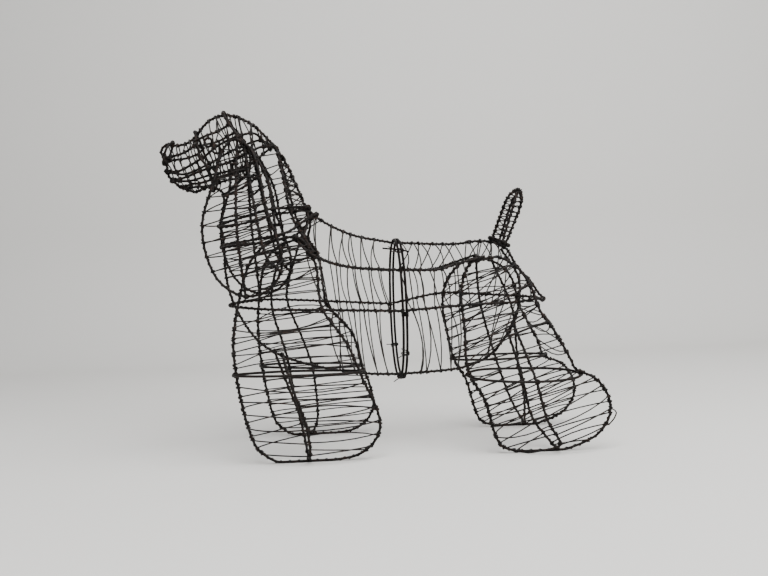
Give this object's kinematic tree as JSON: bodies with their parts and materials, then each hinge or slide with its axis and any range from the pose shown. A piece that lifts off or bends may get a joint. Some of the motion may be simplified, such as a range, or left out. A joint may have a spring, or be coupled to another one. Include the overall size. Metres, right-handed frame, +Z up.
{
  "type": "dog topiary frame",
  "caption": "Life-size wire topiary frame of a standing spaniel, bent from dark steel rods tied where they cross, open inside for moss, with long ears, bell-shaped legs and a raised tail.",
  "frame": {"origin": "centre of the footprint, on the floor under the four feet", "axes": "+Z up; the dog looks along -X and its own left side is +Y"},
  "size_m": [0.6548, 0.2728, 0.5231],
  "materials": {
    "rod_steel": "matt near-black brown steel with thin rust, no paint seen",
    "tie_wire": "the same steel, as thin tie wire"
  },
  "bodies": {
    "root": {"front_back_rod": "rod_steel", "rear_back_rod": "rod_steel", "front_belly_rod": "rod_steel", "rear_belly_rod": "rod_steel", "front_waist_hoop": "rod_steel", "rear_waist_hoop": "rod_steel", "front_side_loop": "rod_steel", "rear_side_loop": "rod_steel", "front_upper_rod_right": "rod_steel", "rear_upper_rod_right": "rod_steel", "front_upper_rod_left": "rod_steel", "rear_upper_rod_left": "rod_steel", "front_leg_loop_right": "rod_steel", "front_leg_loop_left": "rod_steel", "hind_leg_loop_right": "rod_steel", "hind_leg_loop_left": "rod_steel", "front_leg_hoop_right": "rod_steel", "front_leg_hoop_left": "rod_steel", "hind_leg_hoop_right": "rod_steel", "hind_leg_hoop_left": "rod_steel", "front_leg_cross_loop_right": "rod_steel", "front_leg_cross_loop_left": "rod_steel", "hind_leg_cross_loop_right": "rod_steel", "hind_leg_cross_loop_left": "rod_steel", "tail_loop": "rod_steel", "tail_cross_loop": "rod_steel", "tail_root_hoop": "rod_steel", "nose_ring": "rod_steel", "muzzle_ring": "rod_steel", "skull_ring": "rod_steel", "muzzle_rod_right": "rod_steel", "muzzle_rod_left": "rod_steel", "face_rod_right": "rod_steel", "face_rod_left": "rod_steel", "cheek_rod_right": "rod_steel", "cheek_rod_left": "rod_steel", "jaw_rod_right": "rod_steel", "jaw_rod_left": "rod_steel", "brow_rod_right": "rod_steel", "brow_rod_left": "rod_steel", "eye_ring_right": "rod_steel", "eye_ring_left": "rod_steel", "ear_loop_right": "rod_steel", "ear_loop_left": "rod_steel", "ear_front_rib_right": "rod_steel", "ear_front_rib_left": "rod_steel", "ear_rear_rib_right": "rod_steel", "ear_rear_rib_left": "rod_steel", "neck_ring": "rod_steel", "shoulder_ring": "rod_steel", "neck_front_rod_right": "rod_steel", "neck_front_rod_left": "rod_steel", "neck_rear_rod_right": "rod_steel", "neck_rear_rod_left": "rod_steel", "shoulder_rib_right": "rod_steel", "shoulder_rib_left": "rod_steel", "top_waist_tie": "tie_wire", "right_waist_tie": "tie_wire", "lower_waist_tie": "tie_wire", "left_waist_tie": "tie_wire"}
  },
  "joints": []
}
